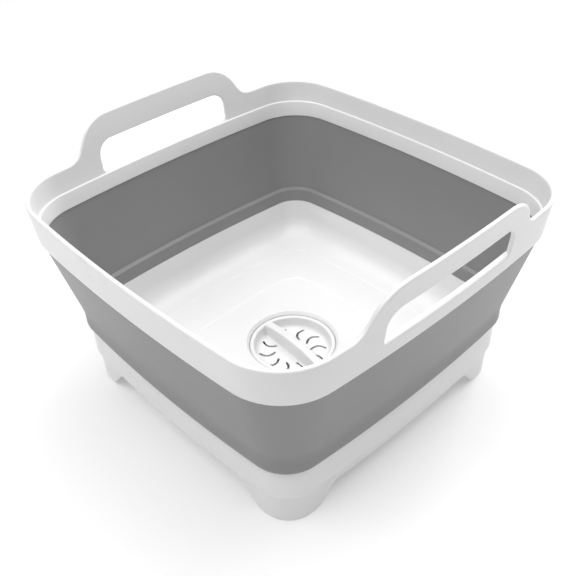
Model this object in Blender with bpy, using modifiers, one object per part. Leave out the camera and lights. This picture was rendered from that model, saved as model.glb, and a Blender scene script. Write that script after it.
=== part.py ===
# Collapsible camp washbasin.
# A stiff rim with two moulded handles hangs on a flexible folding wall over a footed base tub.
# A turn-to-open strainer plug sits in the middle of the tub's floor.
# Metres, +Z up. The origin is on the table, under the middle of the basin. The handles stand at the X sides.

import math

import bmesh
import bpy
from mathutils import Matrix, Vector

# Fits and cuts
clearance = 0.0003
cut_overrun = 0.012
weld_distance = 0.00001

# A rounded corner of a section is drawn with one middle point, this share of its radius off the square corner
corner_share = 0.29

# Plan of the basin: a square with bowed sides and round corners
depth_excess = 0.0015
bow_share = 0.052
side_steps = 4
corner_steps = 6

# Widths, stacked from the tub's outer wall out: the wall's band fits round the tub and its panel flares to the rim
base_half_width = 0.1278
base_corner_radius = 0.0272
band_thickness = 0.0030
panel_flare = 0.0224
corner_flare = 0.0155

band_half_width = base_half_width + clearance + band_thickness
band_corner_radius = base_corner_radius + clearance + band_thickness
lip_half_width = band_half_width + panel_flare
rim_corner_radius = band_corner_radius + corner_flare

# Heights, stacked from the table up
foot_height = 0.0230
outlet_rise = 0.0030
outlet_plate_thickness = 0.0020
valve_height = 0.0099
dish_floor_thickness = 0.0016
dish_depth = 0.0097
recess_step_depth = 0.0028
floor_slope_drop = 0.0012
bowl_depth = 0.0363
wall_lap_height = 0.0092
band_rise = 0.0060
panel_height = 0.0723
rim_height = 0.0307
ledge_drop = 0.0175
handle_rise = 0.0285
handle_bar_height = 0.0208
slot_height = 0.0227

outlet_plate_height = outlet_rise + outlet_plate_thickness
underside_height = outlet_plate_height + valve_height
dish_floor_height = underside_height + dish_floor_thickness
ring_top_height = dish_floor_height + dish_depth
recess_height = ring_top_height + recess_step_depth
floor_height = recess_height + floor_slope_drop
base_top_height = floor_height + bowl_depth
wall_bottom_height = base_top_height - wall_lap_height
wall_bend_height = base_top_height + band_rise
rim_bottom_height = wall_bend_height + panel_height
lip_height = rim_bottom_height + rim_height
ledge_height = lip_height - ledge_drop
handle_top_height = lip_height + handle_rise
slot_top_height = handle_top_height - handle_bar_height
slot_bottom_height = slot_top_height - slot_height

# Rim frame
rim_draft = 0.0030
rim_thickness = 0.0035
rim_ledge_depth = 0.0012
rim_skirt_thickness = 0.0012
rim_edge_radius = 0.0009
tongue_thickness = 0.0016
tongue_height = 0.0105

# Handles, drawn on the rim's X sides
handle_flat_half_length = 0.0515
handle_shoulder_radius = 0.0300
handle_root_radius = 0.0150
handle_shoulder_angle = math.radians(59)
slot_half_length = 0.0645
slot_top_corner_radius = 0.0120
slot_bottom_corner_radius = 0.0040
slot_corner_steps = 5

# Folding wall
wall_thickness = 0.0026
wall_overhang = 0.0017
band_round = 0.0055
band_lower_edge = 0.0009
band_roll = 0.0024
crease_rise = 0.0040

# Base tub
base_thickness = 0.0030
floor_thickness = 0.0026
bowl_radius = 0.0195
bowl_steps = 6
bowl_wall_steps = 2
floor_margin = 0.0040
skirt_edge_radius = 0.0070
skirt_steps = 4
foot_inset = 0.0026
foot_thickness = 0.0034
foot_taper = 0.0008
foot_edge_radius = 0.0012
arch_lip_height = 0.0016
arch_flat_half_length = 0.0690
handle_side_lip_height = 0.0047
handle_side_flat_half_length = 0.0716
arch_shoulder_radius = 0.0100
arch_foot_radius = 0.0090
arch_angle = math.radians(50)

# Drain housing under the floor
recess_radius = 0.0379
recess_slope_width = 0.0013
shoulder_drop = 0.0027
shoulder_width = 0.0016
housing_wall = 0.0022
outlet_radius = 0.0155

# Strainer plug
strainer_ring_gap = 0.0005
strainer_ring_width = 0.0036
strainer_ring_round = 0.0010
strainer_wall = 0.0018
strainer_wall_gap = 0.0012
dish_fillet = 0.0030
grip_width = 0.0072
grip_rise = 0.0040
grip_steps = 10
grip_round = 0.0012
grip_end_margin = 0.0002
grip_turned_angle = math.radians(-4)
slits_each_side = 5
slit_width = 0.0016
slit_inner_radius = 0.0155
slit_outer_radius = 0.0280
slit_bow = 0.0033
slit_steps = 10
slit_middle_angle = math.radians(84.5)
slit_spacing_angle = math.radians(32.3)
seal_groove_depth = 0.0007
seal_groove_height = 0.0030
seal_groove_rise = 0.0030

# Stopper under the strainer
stopper_travel = 0.0040
stopper_radius = 0.0290
stopper_thickness = 0.0018
stem_radius = 0.0030
spigot_radius = 0.0142
spigot_depth = 0.0036
guide_rib_width = 0.0022
guide_rib_reach = 0.0090
guide_rib_gap = 0.0006
guide_rib_root = 0.0006
seal_height = 0.0022
seal_width = 0.0060
seal_edge = 0.0005

# Turned pieces
turn_steps = 40
bore_sides = 24


def new_collection(name):
    collection = bpy.data.collections.new(name)
    bpy.context.scene.collection.children.link(collection)
    return collection


def new_material(name, colour, roughness, metallic=0.0):
    material = bpy.data.materials.new(name)
    material.use_nodes = True
    shader = material.node_tree.nodes["Principled BSDF"]
    shader.inputs["Base Color"].default_value = (*colour, 1)
    shader.inputs["Roughness"].default_value = roughness
    shader.inputs["Metallic"].default_value = metallic
    material.diffuse_color = (*colour, 1)
    return material


def add_part(name, mesh, material, seat_height):
    """Places a mesh, drawn around its own seat, at that height on the basin's upright axis."""
    part = bpy.data.objects.new(name, mesh)
    part.location = (0, 0, seat_height)
    mesh.materials.append(material)
    mesh.shade_smooth()
    mesh.set_sharp_from_angle(angle=math.radians(35))
    parts.objects.link(part)
    return part


def add_cutter(name, mesh, matrix=Matrix()):
    cutter = bpy.data.objects.new(name, mesh)
    cutter.matrix_world = matrix
    cutter.hide_render = True
    cutter.display_type = "WIRE"
    cutters.objects.link(cutter)
    return cutter


def cut(part, cutter, operation="DIFFERENCE"):
    boolean = part.modifiers.new(cutter.name, "BOOLEAN")
    boolean.object = cutter
    boolean.operation = operation
    boolean.solver = "EXACT"


def plan_outline(half_width, corner_radius):
    """Points of the bowed square: each side is a shallow arc that runs smoothly into the corner arcs."""
    half_depth = half_width + depth_excess
    bow = bow_share * half_width
    x_side_radius = (half_depth ** 2 + bow ** 2) / (2 * bow)
    y_side_radius = (half_width ** 2 + bow ** 2) / (2 * bow)
    x_centre = Vector((half_width - x_side_radius, 0))
    y_centre = Vector((0, half_depth - y_side_radius))
    # The corner arc's centre lies inside both side arcs by the corner radius
    x_reach = x_side_radius - corner_radius
    y_reach = y_side_radius - corner_radius
    apart = (y_centre - x_centre).length
    along = (x_reach ** 2 - y_reach ** 2 + apart ** 2) / (2 * apart)
    across = math.sqrt(x_reach ** 2 - along ** 2)
    direction = (y_centre - x_centre) / apart
    normal = Vector((direction.y, -direction.x))
    if normal.x < 0:
        normal.negate()
    corner = x_centre + along * direction + across * normal
    x_end = math.atan2(corner.y - x_centre.y, corner.x - x_centre.x)
    y_start = math.atan2(corner.y - y_centre.y, corner.x - y_centre.x)
    quarter = arc_points(x_centre, x_side_radius, 0, x_end, side_steps)
    quarter += arc_points(corner, corner_radius, x_end, y_start, corner_steps)
    quarter += arc_points(y_centre, y_side_radius, y_start, math.pi / 2, side_steps)
    half = quarter + [Vector((0, half_depth))] + [Vector((-p.x, p.y)) for p in reversed(quarter[1:])]
    return half + [Vector((-half_width, 0))] + [Vector((p.x, -p.y)) for p in reversed(half[1:])]


def arc_points(centre, radius, start, end, steps):
    """Points from the start angle up to, but without, the end angle."""
    angles = [start + (end - start) * step / steps for step in range(steps)]
    return [centre + radius * Vector((math.cos(angle), math.sin(angle))) for angle in angles]


def round_outline(radius):
    """A circle with as many points as the bowed square, at the bearings of its points."""
    square = plan_outline(base_half_width, base_corner_radius)
    return [point.normalized() * radius for point in square]


def lofted_mesh(name, stations):
    """Skins a closed section: each station is an outline and a height, and the last joins the first."""
    mesh = bpy.data.meshes.new(name)
    body = bmesh.new()
    rings = [[body.verts.new((point.x, point.y, height)) for point in outline] for outline, height in stations]
    for ring, following in zip(rings, rings[1:] + rings[:1]):
        count = len(ring)
        for index in range(count):
            ahead = (index + 1) % count
            body.faces.new((ring[index], ring[ahead], following[ahead], following[index]))
    bmesh.ops.recalc_face_normals(body, faces=body.faces)
    body.to_mesh(mesh)
    body.free()
    return mesh


def prism_mesh(name, outline, half_thickness):
    """A flat outline, drawn as a filled curve and given its thickness."""
    curve = bpy.data.curves.new(name, "CURVE")
    curve.dimensions = "2D"
    curve.fill_mode = "BOTH"
    curve.extrude = half_thickness
    spline = curve.splines.new("POLY")
    spline.points.add(len(outline) - 1)
    for point, (across, up) in zip(spline.points, outline):
        point.co = (across, up, 0, 1)
    spline.use_cyclic_u = True
    drawn = bpy.data.objects.new(name, curve)
    cutters.objects.link(drawn)
    evaluated = drawn.evaluated_get(bpy.context.evaluated_depsgraph_get())
    mesh = bpy.data.meshes.new_from_object(evaluated)
    bpy.data.objects.remove(drawn)
    body = bmesh.new()
    body.from_mesh(mesh)
    bmesh.ops.remove_doubles(body, verts=body.verts, dist=weld_distance)
    bmesh.ops.recalc_face_normals(body, faces=body.faces)
    body.to_mesh(mesh)
    body.free()
    return mesh


def box_mesh(name, size):
    """A box around its own origin."""
    mesh = bpy.data.meshes.new(name)
    body = bmesh.new()
    bmesh.ops.create_cube(body, size=1)
    bmesh.ops.scale(body, vec=size, verts=body.verts)
    body.to_mesh(mesh)
    body.free()
    return mesh


def cylinder_mesh(name, radius, height):
    """A cylinder that stands on its own origin."""
    mesh = bpy.data.meshes.new(name)
    body = bmesh.new()
    bmesh.ops.create_cone(
        body, cap_ends=True, segments=bore_sides, radius1=radius, radius2=radius, depth=height,
        matrix=Matrix.Translation((0, 0, height / 2)))
    body.to_mesh(mesh)
    body.free()
    return mesh


def profile_mesh(name, profile, closed):
    """The half section of a turned piece, as a line of edges in the XZ plane."""
    mesh = bpy.data.meshes.new(name)
    body = bmesh.new()
    line = [body.verts.new((radius, 0, height)) for radius, height in profile]
    for start, end in zip(line, line[1:]):
        body.edges.new((start, end))
    if closed:
        body.edges.new((line[-1], line[0]))
    body.to_mesh(mesh)
    body.free()
    return mesh


def turn(part):
    screw = part.modifiers.new("turned", "SCREW")
    screw.axis = "Z"
    screw.angle = math.tau
    screw.steps = turn_steps
    screw.render_steps = turn_steps
    screw.use_merge_vertices = True
    screw.merge_threshold = weld_distance
    screw.use_smooth_shade = True
    return screw


def shoulder_line(flat_half_length, top, bottom, top_radius, bottom_radius, angle, steps=5):
    """One side of a handle or an arch: level, round a shoulder, straight down a slope, round a root."""
    drop = abs(top - bottom)
    way = math.copysign(1, top - bottom)
    turned_drop = (top_radius + bottom_radius) * (1 - math.cos(angle))
    straight = (drop - turned_drop) / math.sin(angle)
    line = []
    for step in range(steps + 1):
        turned = angle * step / steps
        line.append((flat_half_length + top_radius * math.sin(turned),
                     top - way * top_radius * (1 - math.cos(turned))))
    root_across = line[-1][0] + straight * math.cos(angle) + bottom_radius * math.sin(angle)
    for step in range(steps + 1):
        turned = angle * (1 - step / steps)
        line.append((root_across - bottom_radius * math.sin(turned),
                     bottom + way * bottom_radius * (1 - math.cos(turned))))
    return line


def mirrored_outline(line):
    """A side's points, up the left and down the right."""
    return [(-across, up) for across, up in reversed(line)] + line


def rim_offset(height):
    """How far the drafted rim face has come in at a height, measured from the lip."""
    return rim_draft * (lip_height - height) / (lip_height - rim_bottom_height)


def rim_outline(inset, height):
    half_width = lip_half_width - inset - rim_offset(height)
    return plan_outline(half_width, rim_corner_radius - inset)


def make_rim_frame():
    """The band, drawn up to the handles' height, is cut down to the lip outside them."""
    seat = rim_bottom_height
    raised_height = handle_top_height + cut_overrun
    lower_thickness = rim_thickness + rim_ledge_depth
    section = [
        (0, raised_height),
        (0, rim_bottom_height),
        (lower_thickness, rim_bottom_height),
        (lower_thickness, ledge_height),
        (rim_thickness, ledge_height),
        (rim_thickness, raised_height),
    ]
    stations = [(rim_outline(inset, height), height - seat) for inset, height in section]
    rim = add_part("rim_frame", lofted_mesh("rim_frame", stations), white_plastic, seat)

    # Everything over the lip goes, but for the two handles
    half_span = lip_half_width + cut_overrun
    side = shoulder_line(handle_flat_half_length, handle_top_height, lip_height, handle_shoulder_radius,
                         handle_root_radius, handle_shoulder_angle)
    above = raised_height + cut_overrun
    outline = [(-half_span, lip_height), *mirrored_outline(side), (half_span, lip_height),
               (half_span, above), (-half_span, above)]
    trim = prism_mesh("handle_trim", outline, half_span)
    cut(rim, add_cutter("handle_trim", trim, face_x))

    # One rounded slot runs through both handles
    slot = []
    top_corner = slot_top_corner_radius
    bottom_corner = slot_bottom_corner_radius
    corners = [
        (slot_half_length - top_corner, slot_top_height - top_corner, top_corner),
        (top_corner - slot_half_length, slot_top_height - top_corner, top_corner),
        (bottom_corner - slot_half_length, slot_bottom_height + bottom_corner, bottom_corner),
        (slot_half_length - bottom_corner, slot_bottom_height + bottom_corner, bottom_corner),
    ]
    for quarter, (across, up, radius) in enumerate(corners):
        for step in range(slot_corner_steps + 1):
            angle = math.pi / 2 * (quarter + step / slot_corner_steps)
            slot.append((across + radius * math.cos(angle), up + radius * math.sin(angle)))
    cut(rim, add_cutter("handle_slot", prism_mesh("handle_slot", slot, half_span), face_x))

    edge = rim.modifiers.new("soft_edges", "BEVEL")
    edge.width = rim_edge_radius
    edge.segments = 2
    edge.limit_method = "ANGLE"
    edge.angle_limit = math.radians(50)
    edge.use_clamp_overlap = True

    # The groove in the underside holds the folding wall's tongue
    groove_top = rim_bottom_height + tongue_height + clearance
    groove_inner = rim_skirt_thickness + tongue_thickness + 2 * clearance
    below = rim_bottom_height - clearance
    groove_section = [
        (rim_skirt_thickness, groove_top),
        (rim_skirt_thickness, below),
        (groove_inner, below),
        (groove_inner, groove_top),
    ]
    groove = [(rim_outline(inset, height), height) for inset, height in groove_section]
    cut(rim, add_cutter("tongue_groove", lofted_mesh("tongue_groove", groove)))
    return rim


def make_folding_wall():
    """The flexible wall, from its tongue in the rim, down the slanting panel, to its band round the base."""
    seat = wall_bottom_height
    tongue_outer = rim_skirt_thickness + clearance
    tongue_inner = tongue_outer + tongue_thickness
    tongue_top = rim_bottom_height + tongue_height
    shoulder = rim_bottom_height - clearance
    panel_half_width = lip_half_width - rim_offset(shoulder) - wall_overhang
    panel_corner = rim_corner_radius - wall_overhang
    band_inner = base_half_width + clearance
    band_inner_corner = base_corner_radius + clearance
    cap_height = base_top_height + clearance
    cap_half_width = base_half_width - base_thickness
    cap_corner = base_corner_radius - base_thickness
    roll_half_width = band_half_width - band_roll
    lower_edge_half_width = band_inner + band_lower_edge
    shoulder_inset = (band_half_width - lower_edge_half_width) * corner_share

    def rim_side(inset, height):
        return rim_outline(inset, height), height

    stations = [
        rim_side(tongue_outer, tongue_top),
        rim_side(tongue_outer, shoulder),
        (plan_outline(band_half_width, band_corner_radius), wall_bend_height),
        (plan_outline(band_half_width, band_corner_radius), wall_bottom_height + band_round),
        (plan_outline(band_half_width - shoulder_inset, band_corner_radius - shoulder_inset),
         wall_bottom_height + band_round * corner_share),
        (plan_outline(lower_edge_half_width, band_inner_corner + band_lower_edge), wall_bottom_height),
        (plan_outline(band_inner, band_inner_corner), wall_bottom_height),
        (plan_outline(band_inner, band_inner_corner), cap_height),
        (plan_outline(cap_half_width, cap_corner), cap_height),
        (plan_outline(roll_half_width, band_corner_radius - band_roll), wall_bend_height + crease_rise),
        (plan_outline(panel_half_width - wall_thickness, panel_corner - wall_thickness), shoulder),
        rim_side(tongue_inner, shoulder),
        rim_side(tongue_inner, tongue_top),
    ]
    stations = [(outline, height - seat) for outline, height in stations]
    return add_part("folding_wall", lofted_mesh("folding_wall", stations), grey_elastomer, seat)


def make_base_tub():
    """One moulding: upright wall, bowl floor, drain housing, and a skirt whose corners run down to the feet."""
    inner_half_width = base_half_width - base_thickness
    inner_corner = base_corner_radius - base_thickness
    bowl_half_width = inner_half_width - bowl_radius
    bowl_corner = base_corner_radius - base_thickness / 2
    foot_half_width = base_half_width - foot_inset
    foot_corner = base_corner_radius - foot_inset
    foot_inner = foot_half_width - foot_thickness
    foot_inner_corner = foot_corner - foot_thickness
    sole = foot_taper + foot_edge_radius
    ring_seat_height = ring_top_height - shoulder_drop
    upper_bore = recess_radius - recess_slope_width
    lower_bore = housing_bore_radius()
    housing_radius = lower_bore + housing_wall
    recess_outer = upper_bore + housing_wall

    def bowed(inset, height):
        return plan_outline(base_half_width - inset, base_corner_radius - inset), height

    def bowl(radius, steps):
        """The quarter round between wall and floor, as its corner radius grows towards the floor's."""
        for step in steps:
            turned = math.pi / 2 * step / bowl_steps
            share = step / bowl_steps
            half_width = bowl_half_width + radius * math.cos(turned)
            corner = inner_corner + (bowl_corner - inner_corner) * share + (radius - bowl_radius) * (1 - share)
            yield plan_outline(half_width, corner), floor_height + bowl_radius - radius * math.sin(turned)

    # The skirt's lower edge turns under until it meets the feet
    skirt_turn = math.acos(1 - foot_inset / skirt_edge_radius)
    stations = [bowed(0, base_top_height)]
    for step in range(skirt_steps + 1):
        turned = skirt_turn * step / skirt_steps
        stations.append(bowed(skirt_edge_radius * (1 - math.cos(turned)),
                              foot_height + skirt_edge_radius * (math.sin(skirt_turn) - math.sin(turned))))
    stations += [
        (plan_outline(foot_half_width - foot_taper, foot_corner - foot_taper), foot_edge_radius),
        (plan_outline(foot_half_width - sole, foot_corner - sole), 0),
        (plan_outline(foot_inner, foot_inner_corner), 0),
        (plan_outline(foot_inner, foot_inner_corner), foot_height - foot_edge_radius),
        (plan_outline(inner_half_width, inner_corner), foot_height + foot_thickness),
    ]
    # Under the bowl, from where it leaves the skirt to the drain housing
    under_radius = bowl_radius + floor_thickness
    stations += list(bowl(under_radius, range(bowl_wall_steps, bowl_steps + 1)))
    stations += [
        (round_outline(recess_outer), recess_height - floor_thickness),
        (round_outline(recess_outer), ring_seat_height - housing_wall),
        (round_outline(housing_radius), ring_seat_height - 2 * housing_wall),
        (round_outline(housing_radius), outlet_plate_height),
        (round_outline(lower_bore), outlet_rise),
        (round_outline(outlet_radius), outlet_rise),
        (round_outline(outlet_radius), outlet_plate_height),
        (round_outline(lower_bore), outlet_plate_height),
        (round_outline(lower_bore), ring_seat_height),
        (round_outline(upper_bore), ring_seat_height),
        (round_outline(upper_bore), ring_top_height),
        (round_outline(recess_radius), recess_height),
    ]
    # The floor falls gently to the drain, then the bowl climbs to the wall's top
    stations.append((plan_outline(bowl_half_width - floor_margin, bowl_corner), floor_height))
    stations += list(bowl(bowl_radius, range(bowl_steps, -1, -1)))
    stations.append(bowed(base_thickness, base_top_height))
    base = add_part("base_tub", lofted_mesh("base_tub", stations), white_plastic, 0)

    # An arch between the feet on each side leaves a lip under the skirt, a deeper one at the handle sides
    arches = [
        foot_arch("foot_arch", arch_flat_half_length, foot_height - arch_lip_height),
        foot_arch("handle_side_arch", handle_side_flat_half_length, foot_height - handle_side_lip_height),
    ]
    for number, arch in enumerate(arches * 2):
        bearing = Matrix.Rotation(math.tau * number / 4, 4, "Z")
        reach = Matrix.Translation((0, -foot_half_width, 0))
        cut(base, add_cutter(f"{arch.name}_{number + 1}", arch, bearing @ reach @ face_y))

    # Two ribs in the housing guide the stopper and keep it from turning
    rib_top = underside_height - guide_rib_gap
    rib_bottom = outlet_plate_height - guide_rib_root
    rib_size = (guide_rib_reach + guide_rib_root, guide_rib_width, rib_top - rib_bottom)
    rib = box_mesh("guide_rib", rib_size)
    rib_middle = lower_bore + guide_rib_root - rib_size[0] / 2
    for number in range(2):
        bearing = Matrix.Rotation(math.pi * number, 4, "Z")
        place = Matrix.Translation((rib_middle, 0, (rib_top + rib_bottom) / 2))
        cut(base, add_cutter(f"guide_rib_{number + 1}", rib, bearing @ place), "UNION")
    return base


def foot_arch(name, flat_half_length, height):
    """The opening between two feet, drawn as a block that runs on below the table."""
    side = shoulder_line(flat_half_length, height, 0, arch_shoulder_radius, arch_foot_radius, arch_angle)
    foot_end = side[-1][0]
    outline = mirrored_outline(side) + [(foot_end, -cut_overrun), (-foot_end, -cut_overrun)]
    return prism_mesh(name, outline, cut_overrun)


def housing_bore_radius():
    """The bore under the shoulder that carries the strainer's ring."""
    return recess_radius - recess_slope_width - shoulder_width


def make_drain_strainer():
    """A turned ring and dish, with the grip bar across it and curved slits in its floor."""
    ring_top = ring_top_height
    dish_floor = dish_floor_height
    underside = underside_height
    seat = ring_top - shoulder_drop + clearance
    ring_radius = recess_radius - recess_slope_width - strainer_ring_gap
    ring_inner = ring_radius - strainer_ring_width
    wall_outer = housing_bore_radius() - strainer_wall_gap
    dish_radius = wall_outer - strainer_wall
    groove_low = underside + seal_groove_rise
    groove_radius = wall_outer - seal_groove_depth
    profile = [
        (0, dish_floor),
        (dish_radius - dish_fillet, dish_floor),
        (dish_radius - dish_fillet * corner_share, dish_floor + dish_fillet * corner_share),
        (dish_radius, dish_floor + dish_fillet),
        (ring_inner, ring_top - strainer_ring_round),
        (ring_inner + strainer_ring_round, ring_top),
        (ring_radius - strainer_ring_round, ring_top),
        (ring_radius, ring_top - strainer_ring_round),
        (ring_radius, seat),
        (wall_outer, seat),
        (wall_outer, groove_low + seal_groove_height),
        (groove_radius, groove_low + seal_groove_height),
        (groove_radius, groove_low),
        (wall_outer, groove_low),
        (wall_outer, underside + dish_floor_thickness),
        (wall_outer - dish_floor_thickness, underside),
        (0, underside),
    ]
    profile = [(radius, height - seat) for radius, height in profile]
    strainer = add_part("drain_strainer", profile_mesh("drain_strainer", profile, False), white_plastic, seat)
    strainer.rotation_euler.z = grip_turned_angle
    turn(strainer)

    floor_middle = (dish_floor + underside) / 2
    for number, outline in enumerate(slit_outlines()):
        slit = prism_mesh(f"slit_{number + 1}", outline, dish_floor_thickness)
        cut(strainer, add_cutter(f"slit_{number + 1}", slit, Matrix.Translation((0, 0, floor_middle))))

    # The grip bar joins the ring at both ends, level with its top, and stays inside the seal's groove
    grip_half_length = math.sqrt(groove_radius ** 2 - (grip_width / 2) ** 2) - grip_end_margin
    outline = [(-grip_half_length, floor_middle), (grip_half_length, floor_middle)]
    for step in range(grip_steps + 1):
        share = 1 - 2 * step / grip_steps
        outline.append((grip_half_length * share, ring_top + grip_rise * (1 - share ** 2)))
    grip = prism_mesh("grip_bar", outline, grip_width / 2)
    round_top_edges(grip, ring_top, grip_round)
    turned = Matrix.Rotation(grip_turned_angle, 4, "Z")
    cut(strainer, add_cutter("grip_bar", grip, turned @ face_y), "UNION")

    # A blind bore in the grip takes the stopper's stem
    bore_top = stem_top_height() + stopper_travel + 2 * clearance
    bore_low = underside - clearance
    bore = cylinder_mesh("stem_bore", stem_radius + clearance, bore_top - bore_low)
    cut(strainer, add_cutter("stem_bore", bore, Matrix.Translation((0, 0, bore_low))))
    return strainer


def round_top_edges(mesh, height, radius):
    """Rounds the long edges of a drawn bar's arched top, which lies at or over a height."""
    body = bmesh.new()
    body.from_mesh(mesh)
    bmesh.ops.dissolve_limit(body, angle_limit=math.radians(1), verts=body.verts, edges=body.edges)
    top_edges = [
        edge for edge in body.edges
        if min(vert.co.y for vert in edge.verts) > height - weld_distance
        and abs(edge.verts[0].co.z - edge.verts[1].co.z) < weld_distance
        and edge.calc_face_angle() > math.radians(45)]
    bmesh.ops.bevel(body, geom=top_edges, offset=radius, segments=2, profile=0.5, affect="EDGES")
    body.to_mesh(mesh)
    body.free()


def slit_outlines():
    """Slits fan out on both sides of the grip bar, each an arc that bows to one side on its way out."""
    reach = slit_outer_radius - slit_inner_radius
    for number in range(2 * slits_each_side):
        side, place = divmod(number, slits_each_side)
        bearing = slit_middle_angle + math.pi * side + slit_spacing_angle * (place - (slits_each_side - 1) / 2)
        outward = Vector((math.cos(bearing), math.sin(bearing)))
        sideways = Vector((-outward.y, outward.x))
        line = []
        for step in range(slit_steps + 1):
            share = step / slit_steps
            bow = slit_bow * 4 * share * (1 - share)
            line.append(outward * (slit_inner_radius + reach * share) + sideways * bow)
        left = []
        right = []
        for step, point in enumerate(line):
            along = line[min(step + 1, slit_steps)] - line[max(step - 1, 0)]
            across = Vector((-along.y, along.x)).normalized() * slit_width / 2
            left.append(point + across)
            right.append(point - across)
        yield [tuple(point) for point in left + right[::-1]]


def stopper_seat_height():
    """The stopper's disc rests on its seal, which rests on the outlet plate."""
    return outlet_plate_height + seal_height + 2 * clearance


def stem_top_height():
    """The stem ends a floor's thickness under the grip's top when the stopper is lifted."""
    return ring_top_height - stopper_travel - dish_floor_thickness - 2 * clearance


def make_drain_stopper():
    """A disc with a stem up into the grip, a spigot down into the outlet, and notches round the guide ribs."""
    seat = stopper_seat_height()
    disc_top = stopper_thickness
    stem_top = stem_top_height() - seat
    spigot_low = -spigot_depth
    profile = [
        (0, stem_top),
        (stem_radius, stem_top),
        (stem_radius, disc_top),
        (stopper_radius, disc_top),
        (stopper_radius, 0),
        (spigot_radius, 0),
        (spigot_radius, spigot_low),
        (0, spigot_low),
    ]
    stopper = add_part("drain_stopper", profile_mesh("drain_stopper", profile, False), white_plastic, seat)
    turn(stopper)
    rib_inner = housing_bore_radius() - guide_rib_reach - clearance
    notch_size = (stopper_radius, guide_rib_width + 2 * clearance, 4 * stopper_thickness)
    notch = box_mesh("stopper_notch", notch_size)
    for number in range(2):
        bearing = Matrix.Rotation(math.pi * number, 4, "Z")
        place = Matrix.Translation((rib_inner + stopper_radius / 2, 0, seat))
        cut(stopper, add_cutter(f"stopper_notch_{number + 1}", notch, bearing @ place))
    return stopper


def make_stopper_seal():
    """A flat elastomer ring between the stopper's disc and the outlet plate."""
    seat = outlet_plate_height + clearance
    inner = spigot_radius + clearance
    outer = inner + seal_width
    profile = [
        (inner, seal_height),
        (outer - seal_edge, seal_height),
        (outer, seal_height - seal_edge),
        (outer, seal_edge),
        (outer - seal_edge, 0),
        (inner, 0),
    ]
    seal = add_part("stopper_seal", profile_mesh("stopper_seal", profile, True), grey_elastomer, seat)
    turn(seal)
    return seal


def make_strainer_seal():
    """A round-backed elastomer ring in the strainer's groove, against the housing's bore."""
    seat = underside_height + seal_groove_rise + clearance
    bore = housing_bore_radius()
    wall_outer = bore - strainer_wall_gap
    inner = wall_outer - seal_groove_depth + clearance
    outer = bore - clearance
    height = seal_groove_height - 2 * clearance
    corner = (outer - inner) / 2
    profile = [
        (inner, height),
        (outer - corner, height),
        (outer - corner * corner_share, height - corner * corner_share),
        (outer, height - corner),
        (outer, corner),
        (outer - corner * corner_share, corner * corner_share),
        (outer - corner, 0),
        (inner, 0),
    ]
    seal = add_part("strainer_seal", profile_mesh("strainer_seal", profile, True), grey_elastomer, seat)
    turn(seal)
    return seal


for leftover in list(bpy.data.objects):
    bpy.data.objects.remove(leftover)

parts = new_collection("camp_washbasin")
cutters = new_collection("cutters")
white_plastic = new_material("white plastic", (0.80, 0.80, 0.80), 0.35)
grey_elastomer = new_material("grey elastomer", (0.27, 0.27, 0.27), 0.55)

# Turns a drawn outline to stand square to X or to Y, with its second axis up
face_x = Matrix.Rotation(math.pi / 2, 4, "Z") @ Matrix.Rotation(math.pi / 2, 4, "X")
face_y = Matrix.Rotation(math.pi / 2, 4, "X")

make_rim_frame()
make_folding_wall()
make_base_tub()
make_drain_strainer()
make_strainer_seal()
make_drain_stopper()
make_stopper_seal()
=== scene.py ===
import math
import bmesh
import bpy
import numpy as np
from mathutils import Matrix, Vector


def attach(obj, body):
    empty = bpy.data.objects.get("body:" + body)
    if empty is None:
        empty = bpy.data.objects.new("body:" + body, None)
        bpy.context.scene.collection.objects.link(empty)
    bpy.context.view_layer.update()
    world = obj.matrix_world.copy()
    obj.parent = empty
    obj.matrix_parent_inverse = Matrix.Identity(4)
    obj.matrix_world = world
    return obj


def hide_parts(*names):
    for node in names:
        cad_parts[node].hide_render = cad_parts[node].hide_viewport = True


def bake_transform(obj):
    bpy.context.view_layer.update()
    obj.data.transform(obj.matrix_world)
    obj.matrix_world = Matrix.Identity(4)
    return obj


# Looks of a collapsible camp washbasin: white rim with two handles, grey folding wall,
# white footed tub and a strainer plug in its floor
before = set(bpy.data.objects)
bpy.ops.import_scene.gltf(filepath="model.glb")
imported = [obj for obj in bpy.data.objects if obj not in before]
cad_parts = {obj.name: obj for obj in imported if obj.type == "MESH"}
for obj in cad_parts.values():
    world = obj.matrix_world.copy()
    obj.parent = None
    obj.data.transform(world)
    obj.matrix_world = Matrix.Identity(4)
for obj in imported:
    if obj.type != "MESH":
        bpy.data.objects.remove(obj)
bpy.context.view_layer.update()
print("frame loaded")


# ---- shader maths ----

class Wire:
    # one output of a node; sums and products on it add Math nodes
    def __init__(self, finish, socket):
        self.finish = finish
        self.socket = socket

    def combine(self, operation, first, second):
        return self.finish.node("ShaderNodeMath", {"operation": operation}, {0: first, 1: second})

    def __add__(self, other):
        return self.combine("ADD", self, other)

    def __radd__(self, other):
        return self.combine("ADD", other, self)

    def __sub__(self, other):
        return self.combine("SUBTRACT", self, other)

    def __mul__(self, other):
        return self.combine("MULTIPLY", self, other)

    def __rmul__(self, other):
        return self.combine("MULTIPLY", other, self)


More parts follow.
